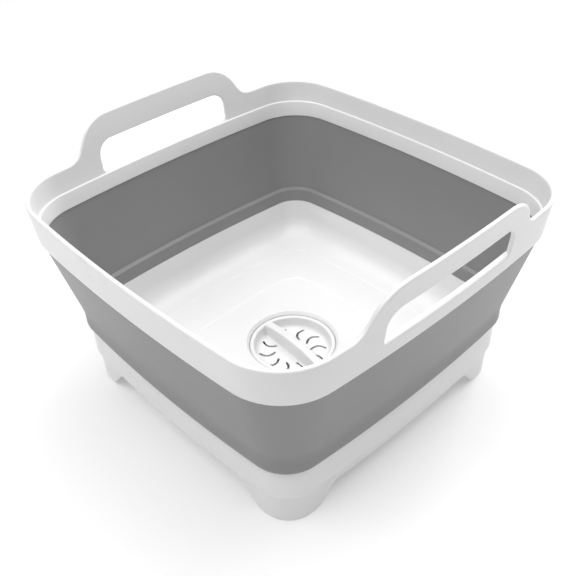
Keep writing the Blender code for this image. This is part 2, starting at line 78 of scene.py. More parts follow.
class Finish:
    # a material with one Principled shader; sockets given by name keep their constant value
    def __init__(self, name, constants):
        self.material = bpy.data.materials.new(name)
        self.material.use_nodes = True
        self.tree = self.material.node_tree
        self.shader = self.tree.nodes["Principled BSDF"]
        for socket, value in constants.items():
            self.shader.inputs[socket].default_value = value

    def node(self, kind, settings=None, sockets=None, output=0):
        made = self.tree.nodes.new(kind)
        for name, value in (settings or {}).items():
            if name == "stops":
                for stop, (place, shade) in zip(made.color_ramp.elements, value):
                    stop.position = place
                    stop.color = (shade, shade, shade, 1)
            else:
                setattr(made, name, value)
        for name, value in (sockets or {}).items():
            self.feed(made.inputs[name], value)
        return Wire(self, made.outputs[output])

    def feed(self, socket, value):
        if isinstance(value, Wire):
            self.tree.links.new(value.socket, socket)
        else:
            socket.default_value = value

    def place(self):
        return self.node("ShaderNodeTexCoord", output="Object")

    def noise(self, scale, detail, roughness):
        return self.node("ShaderNodeTexNoise", None,
                         {"Vector": self.place(), "Scale": scale, "Detail": detail, "Roughness": roughness})

    def blendColours(self, share, first, second):
        # a colour is three parts or the output of another node
        first, second = [colour if isinstance(colour, Wire) else (*colour, 1) for colour in (first, second)]
        return self.node("ShaderNodeMix", {"data_type": "RGBA"}, {0: share, 6: first, 7: second}, 2)

    def surface(self, colour, roughness, height, depth):
        # depth is how far, in metres, a height of 1 stands proud
        bump = self.node("ShaderNodeBump", None, {"Height": height, "Distance": depth, "Strength": 1.0})
        self.feed(self.shader.inputs["Base Color"], colour)
        self.feed(self.shader.inputs["Roughness"], roughness)
        self.feed(self.shader.inputs["Normal"], bump)
        return self.material


plasticLook = {
    "tint": (0.815, 0.815, 0.811), "shade": (0.775, 0.776, 0.776),
    "roughness": 0.30, "roughnessSpread": 0.10, "grainSpread": 0.06,
    "grainDepth": 0.000012, "flowDepth": 0.00005,
    # each noise: its scale, detail and roughness
    "clouds": (14.0, 3.0, 0.55), "grain": (1300.0, 2.0, 0.6), "flow": (55.0, 1.0, 0.4),
}


def makeWhitePlastic():
    # satin moulded plastic: cloudy tint, slight flow waves under a fine tool grain
    look = plasticLook
    finish = Finish("whitePlastic", {"Specular IOR Level": 0.5, "Subsurface Weight": 0.0})
    clouds = finish.noise(*look["clouds"])
    grain = finish.noise(*look["grain"])
    flow = finish.noise(*look["flow"])
    colour = finish.blendColours(clouds, look["shade"], look["tint"])
    roughness = look["roughness"] + look["roughnessSpread"] * (clouds - 0.5)
    roughness = roughness + look["grainSpread"] * (grain - 0.5)
    height = grain * (look["grainDepth"] / look["flowDepth"]) + flow
    return finish.surface(colour, roughness, height, look["flowDepth"])


elastomerLook = {
    "tint": (0.236, 0.236, 0.237), "shade": (0.219, 0.219, 0.220),
    "bloom": (0.32, 0.32, 0.32), "bloomShare": 0.14,
    "roughness": 0.40, "roughnessSpread": 0.12, "grainSpread": 0.08, "grainDepth": 0.00002,
    "clouds": (22.0, 4.0, 0.6), "grain": (2300.0, 2.0, 0.7), "specks": (620.0, 2.0, 0.7),
    "speckStops": [(0.66, 0.0), (0.80, 1.0)],
}


def makeGreyElastomer():
    # matt rubbery skin: fine even grain, soft clouds, a faint bloom of light specks
    look = elastomerLook
    finish = Finish("greyElastomer", {"Specular IOR Level": 0.5})
    clouds = finish.noise(*look["clouds"])
    grain = finish.noise(*look["grain"])
    specks = finish.node("ShaderNodeValToRGB", {"stops": look["speckStops"]},
                         {0: finish.noise(*look["specks"])})
    base = finish.blendColours(clouds, look["shade"], look["tint"])
    colour = finish.blendColours(specks * look["bloomShare"], base, look["bloom"])
    roughness = look["roughness"] + look["roughnessSpread"] * (clouds - 0.5)
    roughness = roughness + look["grainSpread"] * (grain - 0.5)
    return finish.surface(colour, roughness, grain, look["grainDepth"])


whitePlastic = makeWhitePlastic()
greyElastomer = makeGreyElastomer()
print("finishes made")


# ---- shared shapes ----

plan = {"depthExcess": 0.0015, "bowShare": 0.052}


def arcParts(halfWidth, cornerRadius):
    # the first quarter of the bowed square: X side arc, corner arc, Y side arc, for arrays of sizes
    halfDepth = halfWidth + plan["depthExcess"]
    bow = plan["bowShare"] * halfWidth
    xRadius = (halfDepth ** 2 + bow ** 2) / (2 * bow)
    yRadius = (halfWidth ** 2 + bow ** 2) / (2 * bow)
    xCentre = halfWidth - xRadius
    yCentre = halfDepth - yRadius
    # the corner's centre is a corner radius inside both side arcs
    xReach = xRadius - cornerRadius
    yReach = yRadius - cornerRadius
    apart = np.hypot(xCentre, yCentre)
    along = (xReach ** 2 - yReach ** 2 + apart ** 2) / (2 * apart)
    across = np.sqrt(xReach ** 2 - along ** 2)
    dx = -xCentre / apart
    dy = yCentre / apart
    cornerX = xCentre + along * dx - across * dy
    cornerY = along * dy + across * dx
    cornerX = np.where(cornerX < 0, xCentre + along * dx + across * dy, cornerX)
    cornerY = np.where(cornerY < 0, along * dy - across * dx, cornerY)
    xEnd = np.arctan2(cornerY, cornerX - xCentre)
    yStart = np.arctan2(cornerY - yCentre, cornerX)
    return xRadius, yRadius, xCentre, yCentre, cornerX, cornerY, xEnd, yStart


def quarterPlan(halfWidth, cornerRadius, sideShares, cornerShares):
    # points of the first quarter, one row per size; shares run along each arc, ends included once
    halfWidth = np.atleast_1d(halfWidth)[:, None]
    cornerRadius = np.atleast_1d(cornerRadius)[:, None]
    xRadius, yRadius, xCentre, yCentre, cornerX, cornerY, xEnd, yStart = arcParts(halfWidth, cornerRadius)
    first = xEnd * sideShares
    middle = xEnd + (yStart - xEnd) * cornerShares[1:-1]
    last = yStart + (np.pi / 2 - yStart) * (1 - sideShares[::-1])
    x = np.hstack([xCentre + xRadius * np.cos(first), cornerX + cornerRadius * np.cos(middle),
                   yRadius * np.cos(last)])
    y = np.hstack([xRadius * np.sin(first), cornerY + cornerRadius * np.sin(middle),
                   yCentre + yRadius * np.sin(last)])
    return x, y


def bowedRings(rows, sideShares, cornerShares):
    # rows hold half width, height and corner radius; each becomes one closed ring of points
    rows = np.asarray(rows, float)
    x, y = quarterPlan(rows[:, 0], rows[:, 2], sideShares, cornerShares)
    x = np.hstack([x, -x[:, -2::-1], -x[:, 1:], x[:, -2:0:-1]])
    y = np.hstack([y, y[:, -2::-1], -y[:, 1:], -y[:, -2:0:-1]])
    return np.stack([x, y, np.broadcast_to(rows[:, 1:2], x.shape)], axis=2)


def roundRings(rows, bearings):
    # rows hold radius and height
    rows = np.asarray(rows, float)
    x = rows[:, :1] * np.cos(bearings)
    y = rows[:, :1] * np.sin(bearings)
    return np.stack([x, y, np.broadcast_to(rows[:, 1:2], x.shape)], axis=2)


def roundedLine(points, radii, steps=5, closed=False):
    # a line in (width, height) whose corners are replaced by arcs of the given radii
    points = np.asarray(points, float)
    count = len(points)
    line = []
    for index in range(count):
        radius = radii[index]
        if radius == 0 or (not closed and index in (0, count - 1)):
            line.append(points[index])
            continue
        before = points[index - 1] - points[index]
        after = points[(index + 1) % count] - points[index]
        before /= np.linalg.norm(before)
        after /= np.linalg.norm(after)
        opening = math.acos(np.clip(before @ after, -1, 1))
        reach = radius / math.tan(opening / 2)
        middle = (before + after) / np.linalg.norm(before + after)
        centre = points[index] + middle * radius / math.sin(opening / 2)
        start = points[index] + before * reach - centre
        end = points[index] + after * reach - centre
        turned = np.linspace(0, 1, steps + 1)[:, None]
        sweep = math.pi - opening
        arc = (start * np.sin((1 - turned) * sweep) + end * np.sin(turned * sweep)) / math.sin(sweep)
        line.extend(centre + arc)
    return np.array(line)


def gridFaces(rowCount, columnCount, closedRows, closedColumns):
    # quads of a grid of points; a closed direction joins its last line to its first
    rows = np.arange(rowCount if closedRows else rowCount - 1)[:, None]
    columns = np.arange(columnCount if closedColumns else columnCount - 1)[None, :]
    nextRows = (rows + 1) % rowCount
    nextColumns = (columns + 1) % columnCount
    corners = [rows * columnCount + columns, rows * columnCount + nextColumns,
               nextRows * columnCount + nextColumns, nextRows * columnCount + columns]
    return np.stack([np.broadcast_to(c, (rows.size, columns.size)) for c in corners], axis=2).reshape(-1, 4)


# points nearer than these, in metres, are welded, and edges shorter than this are dropped
weldReach = 0.000004
tinyEdge = 0.000002


def makePiece(name, patches, material, body, replaced=(), sharpAngle=None, outward=None):
    # patches are (points, faces) pairs; their shared borders are welded
    offset = 0
    allPoints = []
    allFaces = []
    for points, faces in patches:
        points = np.asarray(points, float).reshape(-1, 3)
        allPoints.append(points)
        allFaces.extend((np.asarray(face) + offset).tolist() for face in faces)
        offset += len(points)
    mesh = bpy.data.meshes.new(name)
    mesh.from_pydata(np.vstack(allPoints).tolist(), [], allFaces)
    shell = bmesh.new()
    shell.from_mesh(mesh)
    bmesh.ops.remove_doubles(shell, verts=shell.verts, dist=weldReach)
    bmesh.ops.dissolve_degenerate(shell, edges=shell.edges, dist=tinyEdge)
    bmesh.ops.recalc_face_normals(shell, faces=shell.faces)
    if outward is not None:
        # an open sheet: the face nearest the given point must look away from the axis
        face = min(shell.faces, key=lambda f: (f.calc_center_median() - Vector(outward)).length)
        if face.normal.xy.dot(Vector(outward).xy) < 0:
            bmesh.ops.reverse_faces(shell, faces=shell.faces)
    shell.to_mesh(mesh)
    shell.free()
    mesh.shade_smooth()
    if sharpAngle is not None:
        mesh.set_sharp_from_angle(angle=math.radians(sharpAngle))
    piece = bpy.data.objects.new(name, mesh)
    bpy.context.scene.collection.objects.link(piece)
    mesh.materials.append(material)
    if body is not None:
        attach(piece, body)
    if replaced:
        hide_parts(*replaced)
    return piece


def shoulderLine(flat, top, bottom, topRadius, bottomRadius, angle, steps):
    # one side of a handle or an arch: round a shoulder, straight down a slope, round a root
    way = math.copysign(1, top - bottom)
    straight = (abs(top - bottom) - (topRadius + bottomRadius) * (1 - math.cos(angle))) / math.sin(angle)
    turned = np.linspace(0, angle, steps + 1)
    across = flat + topRadius * np.sin(turned)
    up = top - way * topRadius * (1 - np.cos(turned))
    root = across[-1] + straight * math.cos(angle) + bottomRadius * math.sin(angle)
    back = turned[::-1]
    return (np.concatenate([across, root - bottomRadius * np.sin(back)]),
            np.concatenate([up, bottom + way * bottomRadius * (1 - np.cos(back))]))


def resample(path, count):
    # points at even steps along a polyline, ends included
    path = np.asarray(path, float)
    length = np.concatenate([[0], np.cumsum(np.linalg.norm(np.diff(path, axis=0), axis=1))])
    wanted = np.linspace(0, length[-1], count)
    return np.stack([np.interp(wanted, length, path[:, 0]), np.interp(wanted, length, path[:, 1])], axis=1)


# ---- rim with its two handles ----

rim = {
    "lip": 0.1755, "bottom": 0.1448, "halfWidth": 0.1535, "corner": 0.0460, "draft": 0.0030,
    "thickness": 0.0035,
    "edge": 0.0015, "edgeSteps": 4, "edgeAngle": 55, "seam": 0.0985, "margin": 0.0017, "levels": 9,
    "handleTop": 0.2040, "handleFlat": 0.0515, "shoulder": 0.0300, "root": 0.0150, "slope": 59,
    "handleFlare": 0.0016, "flatPoints": 25, "shoulderPoints": 30, "footPoints": 12,
    "slotHalf": 0.0645, "slotBottom": 0.1582, "slotTop": 0.1832, "slotTopCorner": 0.0120,
    "slotBottomCorner": 0.0030, "ledge": 0.1576, "ledgeDepth": 0.0017, "ledgeEdge": 0.0006,
    "ledgeHang": 0.0006, "ledgeSink": 0.0005, "ledgeLowEdge": 0.0004,
}


def rimHalf(height):
    return rim["halfWidth"] - rim["draft"] * (rim["lip"] - height) / (rim["lip"] - rim["bottom"])


def onHandleSide(along, height, side):
    # a point drawn on the rim's X side, laid on its bowed and drafted face
    # over the lip the handle leans out, by the square of the share of its height
    rise = np.clip((height - rim["lip"]) / (rim["handleTop"] - rim["lip"]), 0, 1)
    halfWidth = rimHalf(height) + rim["handleFlare"] * rise ** 2
    xRadius, _, xCentre = arcParts(halfWidth, rim["corner"])[:3]
    return np.stack([side * (xCentre + np.sqrt(xRadius ** 2 - along ** 2)), along, height], axis=-1)


def offsetLoop(loop, distance):
    # a closed loop, drawn anticlockwise, moved square to itself towards its inside
    ahead = np.roll(loop, -1, axis=0) - loop
    ahead /= np.linalg.norm(ahead, axis=1)[:, None]
    normal = np.stack([-ahead[:, 1], ahead[:, 0]], axis=1)
    mitre = normal + np.roll(normal, 1, axis=0)
    mitre /= np.sum(mitre * normal, axis=1)[:, None]
    return loop + mitre * distance


def handlePlate(levels, side):
    # rings of points around the slot: from its outline out to the border of the plate
    topCorner, bottomCorner = rim["slotTopCorner"], rim["slotBottomCorner"]
    topCentre, bottomCentre = rim["slotTop"] - topCorner, rim["slotBottom"] + bottomCorner
    slotMid = (topCentre + bottomCentre) / 2

    def slotArc(radius, height, start, end):
        turned = np.radians(np.linspace(start, end, 9))
        across = rim["slotHalf"] - radius + radius * np.cos(turned)
        return np.stack([across, height + radius * np.sin(turned)], axis=1)

    across, up = shoulderLine(rim["handleFlat"], rim["handleTop"], rim["lip"], rim["shoulder"], rim["root"],
                              math.radians(rim["slope"]), 12)
    flat = rim["handleFlat"]
    shoulderOuter = np.vstack([[[rim["seam"], rim["lip"]]], np.stack([across, up], axis=1)[::-1]])
    endMiddle = [[rim["slotHalf"], slotMid]]
    shoulderInner = np.vstack([endMiddle, slotArc(topCorner, topCentre, 0, 90), [[flat, rim["slotTop"]]]])
    footInner = np.vstack([[[flat, rim["slotBottom"]]], slotArc(bottomCorner, bottomCentre, 270, 315)])
    endInner = np.vstack([slotArc(bottomCorner, bottomCentre, -45, 0), endMiddle])
    seam = np.stack([np.full(len(levels), rim["seam"]), levels], axis=1)
    mirror = np.array([-1, 1])
    flatCount, shoulderCount, footCount = rim["flatPoints"], rim["shoulderPoints"], rim["footPoints"]
    flatLine = np.linspace(flat, -flat, flatCount)
    pairs = [
        (seam, resample(endInner, len(levels))),
        (resample(shoulderOuter, shoulderCount), resample(shoulderInner, shoulderCount)),
        (np.stack([flatLine, np.full(flatCount, rim["handleTop"])], axis=1),
         np.stack([flatLine, np.full(flatCount, rim["slotTop"])], axis=1)),
        (resample(shoulderOuter[::-1] * mirror, shoulderCount),
         resample(shoulderInner[::-1] * mirror, shoulderCount)),
        (seam[::-1] * mirror, resample(endInner[::-1] * mirror, len(levels))),
        (resample([[-rim["seam"], rim["bottom"]], [-flat, rim["bottom"]]], footCount),
         resample(footInner[::-1] * mirror, footCount)),
        (np.stack([-flatLine, np.full(flatCount, rim["bottom"])], axis=1),
         np.stack([-flatLine, np.full(flatCount, rim["slotBottom"])], axis=1)),
        (resample([[flat, rim["bottom"]], [rim["seam"], rim["bottom"]]], footCount),
         resample(footInner, footCount)),
    ]
    outer = np.vstack([pair[0][:-1] for pair in pairs])
    inner = np.vstack([pair[1][:-1] for pair in pairs])
    outerMargin = offsetLoop(outer, rim["margin"])
    innerMargin = offsetLoop(inner, -rim["margin"])
    shares = np.array([0, 0.2, 0.4, 0.6, 0.8, 1])[:, None, None]
    drawn = np.concatenate([inner[None], innerMargin + (outerMargin - innerMargin) * shares, outer[None]])
    points = onHandleSide(drawn[..., 0], drawn[..., 1], side)
    return points, gridFaces(*points.shape[:2], False, True)


def rimSides(levels, side):
    # the plain band from one handle plate to the other, round two corners
    halfWidth = rimHalf(levels)
    xRadius, yRadius, xCentre, yCentre, cornerX, cornerY, xEnd, yStart = [
        part[:, None] for part in arcParts(halfWidth, np.full(len(levels), rim["corner"]))]
    sideEnd = xRadius * np.sin(xEnd)
    shares = np.linspace(0, 1, 5)[None, :]
    first = rim["seam"] + (sideEnd - rim["seam"]) * shares
    turned = xEnd + (yStart - xEnd) * np.linspace(0, 1, 25)[None, 1:-1]
    last = yStart + (np.pi / 2 - yStart) * np.linspace(0, 1, 21)[None, :]
    x = np.hstack([xCentre + np.sqrt(xRadius ** 2 - first ** 2), cornerX + rim["corner"] * np.cos(turned),
                   yRadius * np.cos(last)])
    y = np.hstack([first, cornerY + rim["corner"] * np.sin(turned), yCentre + yRadius * np.sin(last)])
    x = np.hstack([x, -x[:, -2::-1]])
    y = np.hstack([y, y[:, -2::-1]]) * side
    points = np.stack([x, y, np.broadcast_to(levels[:, None], x.shape)], axis=2)
    return points, gridFaces(*x.shape, False, False)


rimLevels = np.linspace(rim["bottom"], rim["lip"], rim["levels"])
rimPatches = [part(rimLevels, side) for part in (handlePlate, rimSides) for side in (1, -1)]
rimFrame = makePiece("rimFrame", rimPatches, whitePlastic, "rim", ["rim_frame"],
                     outward=(0, -rim["halfWidth"], rim["slotBottom"]))
wallThickness = rimFrame.modifiers.new("wall", "SOLIDIFY")
wallThickness.thickness = rim["thickness"]
wallThickness.offset = -1
softEdge = rimFrame.modifiers.new("softEdge", "BEVEL")
softEdge.width = rim["edge"]
softEdge.segments = rim["edgeSteps"]
softEdge.limit_method = "ANGLE"
softEdge.angle_limit = math.radians(rim["edgeAngle"])
softEdge.use_clamp_overlap = False
softEdge.harden_normals = False

sideShares = np.concatenate([np.linspace(0, 0.60, 8), np.linspace(0.63, 1, 24)])
cornerShares = np.linspace(0, 1, 23)


def makeRimLedge():
    # a low step round the inside of the band; its back is sunk in the band's wall
    top = rim["ledge"]
    low = rim["bottom"] - rim["ledgeHang"]
    front = rim["thickness"] + rim["ledgeDepth"]
    back = rim["thickness"] - rim["ledgeSink"]
    line = roundedLine([(front, low), (front, top), (back, top), (back, low)],
                       [rim["ledgeLowEdge"], rim["ledgeEdge"], 0, 0], 4, True)
    rows = np.stack([rimHalf(line[:, 1]) - line[:, 0], line[:, 1], rim["corner"] - line[:, 0]], axis=1)
    rings = bowedRings(rows, sideShares, cornerShares)
    piece = makePiece("rimLedge", [(rings, gridFaces(*rings.shape[:2], True, True))], whitePlastic, "rim",
                      sharpAngle=50)
    return piece


makeRimLedge()
print("rim made")


# ---- folding wall ----

wall = {
    "top": 0.1465, "bend": 0.0725, "bottom": 0.0573, "thickness": 0.0026, "overhang": 0.0017,
    "bandHalf": 0.1311, "bandCorner": 0.0305, "panelCorner": 0.0443, "bendRound": 0.0550,
    "lowerRise": 0.0042, "lowerWidth": 0.0021,
    "tubHalf": 0.1278, "tubTop": 0.0665, "tubThickness": 0.0030, "crease": 0.0778,
    "beadTop": 0.0766, "beadWidth": 0.0016, "beadRound": 0.0008, "creaseRound": 0.0006,
    "lapGap": 0.0002, "lapDrop": 0.001, "lapRise": 0.0004, "lapRound": 0.0003,
    "rowHeight": 0.0022, "topHold": 0.001,
}


def makeFoldingWall():
    # a closed section (outer panel, bend, band, lap under the tub's top, inner panel) carried round the plan
    shoulder = rim["bottom"]
    panelHalf = rimHalf(shoulder) - wall["overhang"]
    slant = (panelHalf - wall["bandHalf"]) / (shoulder - wall["bend"])
    topHalf = panelHalf + slant * (wall["top"] - shoulder)
    lapHalf = wall["tubHalf"] - wall["lapGap"]
    lapLow = wall["tubTop"] - wall["lapDrop"]
    innerHalf = wall["tubHalf"] - wall["tubThickness"]
    # inside, the panel ends on a soft bead that stands in from it over the tub's wall
    creaseHalf = wall["bandHalf"] + slant * (wall["crease"] - wall["bend"]) - wall["thickness"]
    # the band's lower edge is a quarter of an ellipse
    turned = np.linspace(0, np.pi / 2, 9)
    lowerEdge = np.stack([wall["bandHalf"] - wall["lowerWidth"] * (1 - np.cos(turned)),
                          wall["bottom"] + wall["lowerRise"] * (1 - np.sin(turned))], axis=1)
    line = roundedLine(
        [(topHalf, wall["top"]), (wall["bandHalf"], wall["bend"]), *lowerEdge,
         (lapHalf, wall["bottom"]), (lapHalf, lapLow), (innerHalf, lapLow),
         (innerHalf, wall["tubTop"] + wall["lapRise"]), (innerHalf + wall["beadWidth"], wall["beadTop"]),
         (creaseHalf, wall["crease"]), (topHalf - wall["thickness"], wall["top"])],
        [0, wall["bendRound"], *[0] * (len(lowerEdge) + 3), wall["lapRound"], wall["beadRound"],
         wall["creaseRound"], 0], 7, True)
    outerHalf = np.where(line[:, 1] > wall["bend"], wall["bandHalf"] + slant * (line[:, 1] - wall["bend"]),
                         wall["bandHalf"])
    outerCorner = wall["bandCorner"] + (wall["panelCorner"] - wall["bandCorner"]) * np.clip(
        (line[:, 1] - wall["bend"]) / (shoulder - wall["bend"]), 0, None)
    rows = np.stack([line[:, 0], line[:, 1], outerCorner - (outerHalf - line[:, 0])], axis=1)
    # long straight runs get rows between their ends, so that the wall can bend as it folds
    finer = [rows[0]]
    for before, after in zip(rows, np.vstack([rows[1:], rows[:1]])):
        parts = max(1, int(abs(after[1] - before[1]) / wall["rowHeight"]))
        finer.extend(before + (after - before) * step / parts for step in range(1, parts + 1))
    rings = bowedRings(np.array(finer[:-1]), sideShares, cornerShares)
    piece = makePiece("foldingWall", [(rings, gridFaces(*rings.shape[:2], True, True))], greyElastomer, None,
                      ["folding_wall"], sharpAngle=50)
    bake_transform(piece)
    return piece


makeFoldingWall()
print("folding wall made")


# ---- tub with its feet and drain housing ----

tub = {
    "top": 0.0665, "halfWidth": 0.1278, "corner": 0.0272, "thickness": 0.0030, "topEdge": 0.0006,
    "topMiddle": 0.0015, "topRun": 0.01, "floor": 0.0302, "floorDrop": 0.0012, "floorThickness": 0.0026,
    "bowlRadius": 0.0195, "bowlCorner": 0.0257, "wallRun": 0.001,
    "innerLine": 0.0670, "innerLineCorner": 0.0200, "outerLine": 0.1002, "outerLineCorner": 0.0235,
    "lineRun": 0.0016, "skirtBottom": 0.0262, "skirtEdge": 0.0090, "skirtInset": 0.0022,
    "footInset": 0.0024, "footShoulder": 0.0002, "footThickness": 0.0036, "footTaper": 0.0010,
    "footEdge": 0.0012, "footInnerEdge": 0.0006, "footFade": 0.003, "footFadeLeast": 0.15,
    "underRise": 0.0036, "underStart": 0.38,
    "archLip": 0.0048, "archFlat": 0.0690, "handleSideLip": 0.0079, "handleSideFlat": 0.0716,
    "archShoulder": 0.0100, "archRoot": 0.0090, "archSlope": 50,
    "recess": 0.0387, "recessStep": 0.0028, "recessSlope": 0.0021, "recessEdge": 0.0012, "recessRun": 0.006,
    "ringDrop": 0.0027, "shoulderWidth": 0.0016, "housingWall": 0.0022, "plateTop": 0.0050,
    "plateThickness": 0.0020, "outlet": 0.0155,
    # the rounding of the housing's corners, from its joint with the floor inwards
    "housingRounds": [0, 0.0006, 0.0006, 0.0016, 0.0005, 0.0005, 0.0008, 0.0004, 0.0004, 0.0005],
}


def archHeight(along, flat, lip):
    # height of the skirt's lower edge at a distance from the middle of a side
    across, up = shoulderLine(flat, tub["skirtBottom"] - lip, 0, tub["archShoulder"], tub["archRoot"],
                              math.radians(tub["archSlope"]), 14)
    return np.interp(along, across, up)


def makeBaseTub():
    half, corner = tub["halfWidth"], tub["corner"]
    inner = half - tub["thickness"]
    footHalf = half - tub["footInset"]

    def drawn(line):
        return np.stack([line[:, 0], line[:, 1], corner - (half - line[:, 0])], axis=1)

    # outer wall, skirt edge and notch
    skirtTurn = math.acos(1 - tub["skirtInset"] / tub["skirtEdge"])
    turned = np.linspace(0, skirtTurn, 9)
    skirt = np.stack([half - tub["skirtEdge"] * (1 - np.cos(turned)),
                      tub["skirtBottom"] + tub["skirtEdge"] * (math.sin(skirtTurn) - np.sin(turned))], axis=1)
    outerTop = roundedLine([(half - tub["topMiddle"], tub["top"]), (half, tub["top"]),
                            (half, tub["top"] - tub["topRun"])], [0, tub["topEdge"], 0], 4)
    outside = np.vstack([outerTop[:-1], skirt])
    # foot wall, drawn down from 1 at the notch to 0 at its lower edge
    edge = tub["footEdge"]
    turned = np.linspace(0, np.pi / 2, 5)
    footInner = footHalf - tub["footThickness"]
    soleOut = footHalf - tub["footTaper"]
    footWidths = np.concatenate([[footHalf], np.linspace(footHalf, soleOut, 5)[1:],
                                 soleOut - edge * (1 - np.cos(turned[1:])),
                                 footInner + tub["footInnerEdge"] * (1 - np.cos(turned[::-1])),
                                 [footInner] * 4])
    footShares = np.concatenate([[1], np.linspace(1, 0, 5)[1:], np.zeros(9), [0.3, 0.6, 0.85, 1]])
    # a small shoulder tops the foot, where it stands out from the skirt's tucked edge
    footLifts = np.concatenate([[-tub["footShoulder"], 0, 0, 0, edge], edge * (1 - np.sin(turned[1:])),
                                tub["footInnerEdge"] * (1 - np.sin(turned[::-1])), [0, 0, 0, 0]])
    footRows = np.stack([footWidths, np.zeros(len(footWidths)), corner - (half - footWidths)], axis=1)
    # underside of the bowl
    bowlHalf = inner - tub["bowlRadius"]
    innerCorner = corner - tub["thickness"]

    def bowl(radius, start, end, steps):
        share = np.linspace(start, end, steps)
        angle = np.pi / 2 * share
        height = tub["floor"] + tub["bowlRadius"] - radius * np.sin(angle)
        return np.stack([bowlHalf + radius * np.cos(angle), height,
                         innerCorner + (tub["bowlCorner"] - innerCorner) * share
                         + (radius - tub["bowlRadius"]) * (1 - share)], axis=1)

    under = np.vstack([[(inner, tub["skirtBottom"] + tub["underRise"], innerCorner)],
                       bowl(tub["bowlRadius"] + tub["floorThickness"], tub["underStart"], 1, 8)])
    recessTop = tub["floor"] - tub["floorDrop"]
    ringTop = recessTop - tub["recessStep"]
    ringSeat = ringTop - tub["ringDrop"]
    upperBore = tub["recess"] - tub["recessSlope"]
    lowerBore = upperBore - tub["shoulderWidth"]
    housing = lowerBore + tub["housingWall"]
    plateLow = tub["plateTop"] - tub["plateThickness"]
    housingRows = roundedLine(
        [(upperBore + tub["housingWall"], recessTop - tub["floorThickness"]),
         (upperBore + tub["housingWall"], ringSeat - tub["housingWall"]),
         (housing, ringSeat - 2 * tub["housingWall"]), (housing, plateLow), (tub["outlet"], plateLow),
         (tub["outlet"], tub["plateTop"]), (lowerBore, tub["plateTop"]), (lowerBore, ringSeat),
         (upperBore, ringSeat), (upperBore, ringTop), (tub["recess"], recessTop),
         (tub["recess"] + tub["recessRun"], recessTop)],
        [*tub["housingRounds"], tub["recessEdge"], 0], 5)
    floorShares = np.array([0.2, 0.4, 0.6, 0.8, 1.0])
    # the floor falls to the drain over two shallow steps, each drawn as half a wave
    run = np.linspace(-1, 1, 7)
    rise = (1 + np.sin(run * np.pi / 2)) / 2
    steps = np.vstack([
        np.stack([line + run * tub["lineRun"] / 2, recessTop + tub["floorDrop"] * (start + rise) / 2,
                  np.full(len(run), corner)], axis=1)
        for line, corner, start in ((tub["innerLine"], tub["innerLineCorner"], 0),
                                    (tub["outerLine"], tub["outerLineCorner"], 1))])
    inside = np.vstack([steps, bowl(tub["bowlRadius"], 1, 0, 15)])
    insideTop = roundedLine([(inner, tub["floor"] + tub["bowlRadius"] + tub["wallRun"]), (inner, tub["top"]),
                             (inner + tub["topMiddle"], tub["top"])], [0, tub["topEdge"], 0], 4)
    upper = bowedRings(drawn(outside), sideShares, cornerShares)
    feet = bowedRings(footRows, sideShares, cornerShares)
    nearest = np.minimum(np.abs(feet[..., 0]), np.abs(feet[..., 1]))
    edgeHeight = np.where(np.abs(feet[..., 0]) > np.abs(feet[..., 1]),
                          archHeight(nearest, tub["handleSideFlat"], tub["handleSideLip"]),
                          archHeight(nearest, tub["archFlat"], tub["archLip"]))
    # the foot's roundings fade out over the arches, where little or nothing hangs below the skirt
    fade = np.clip((tub["skirtBottom"] - edgeHeight) / tub["footFade"], tub["footFadeLeast"], 1)
    hang = (tub["skirtBottom"] - edgeHeight) * footShares[:, None]
    feet[..., 2] = edgeHeight + hang + footLifts[:, None] * fade
    below = bowedRings(under, sideShares, cornerShares)
    bearings = np.arctan2(below[-1, :, 1], below[-1, :, 0])
    housingRings = roundRings(housingRows, bearings)
    insideRings = bowedRings(np.vstack([inside, drawn(insideTop)[1:]]), sideShares, cornerShares)
    floorRings = housingRings[-1] + (insideRings[0] - housingRings[-1]) * floorShares[:-1, None, None]
    rings = np.concatenate([upper, feet, below, housingRings, floorRings, insideRings])
    piece = makePiece("baseTub", [(rings, gridFaces(*rings.shape[:2], True, True))], whitePlastic, "base",
                      ["base_tub"], sharpAngle=42)
    return piece


makeBaseTub()
print("tub made")


# ---- strainer plug ----

plug = {
    "ringTop": 0.0262, "ringSeat": 0.0238, "ringOuter": 0.0361, "ringWidth": 0.0036, "ringRound": 0.0013,
    "dishDepth": 0.0097, "floorThickness": 0.0016, "dishOuter": 0.0338, "dishWall": 0.0018,
    "dishFillet": 0.0030,
    "filletShare": 0.95, "ringLowEdge": 0.0003, "dishLowEdge": 0.0012, "hub": 0.0128,
    "gripWidth": 0.0072, "gripRise": 0.0040, "gripRound": 0.0013, "gripFlare": 0.0022, "gripFoot": 0.0009,
    "gripSpread": 0.0025, "gripSink": 0.0001, "gripReachShare": 0.55, "gripEnd": 0.006, "gripStart": 0.009,
    "turned": -4, "slitsEachSide": 5, "slitWidth": 0.0020, "slitInner": 0.0155, "slitOuter": 0.0280,
    "slitBow": 0.0033, "slitMiddle": 84.5, "slitSpacing": 32.3, "slitLip": 0.0001, "slitStep": 0.0004,
}


